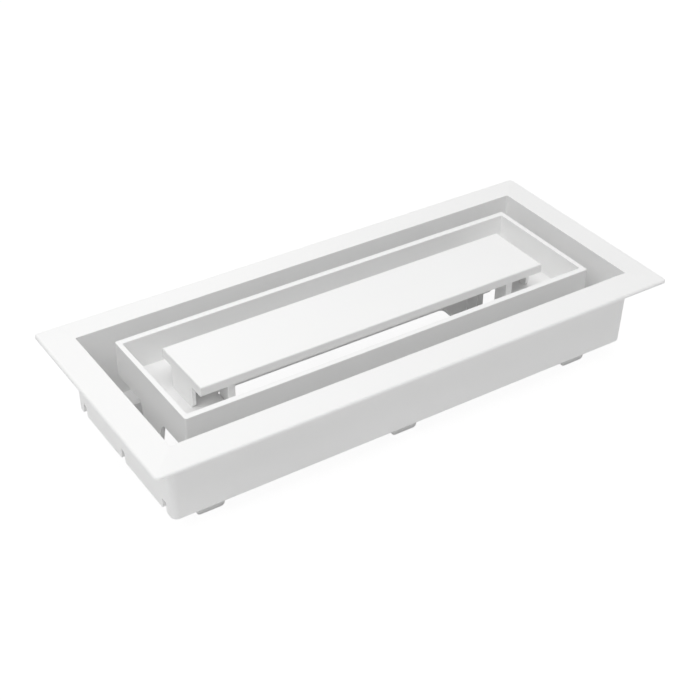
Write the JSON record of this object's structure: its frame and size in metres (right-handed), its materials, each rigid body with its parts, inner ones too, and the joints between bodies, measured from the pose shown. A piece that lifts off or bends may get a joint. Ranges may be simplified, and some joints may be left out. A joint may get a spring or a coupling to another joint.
{
  "type": "flush wall vent",
  "caption": "Flush wall vent for a rectangular duct: a flanged outer frame with a slotted tray ring and a flat centre plate set level in it.",
  "frame": {"origin": "centre of the vent on the wall's surface, which the back of the flange lies on", "axes": "+X along the vent, +Y across it, +Z out of the wall towards the room"},
  "size_m": [0.361, 0.1576, 0.0657],
  "materials": {
    "white_frame": "satin moulded",
    "white_tray": "satin moulded",
    "white_plate": "satin moulded"
  },
  "bodies": {
    "root": {"outer_frame": "white_frame", "tray": "white_tray", "centre_plate": "white_plate"}
  },
  "joints": []
}
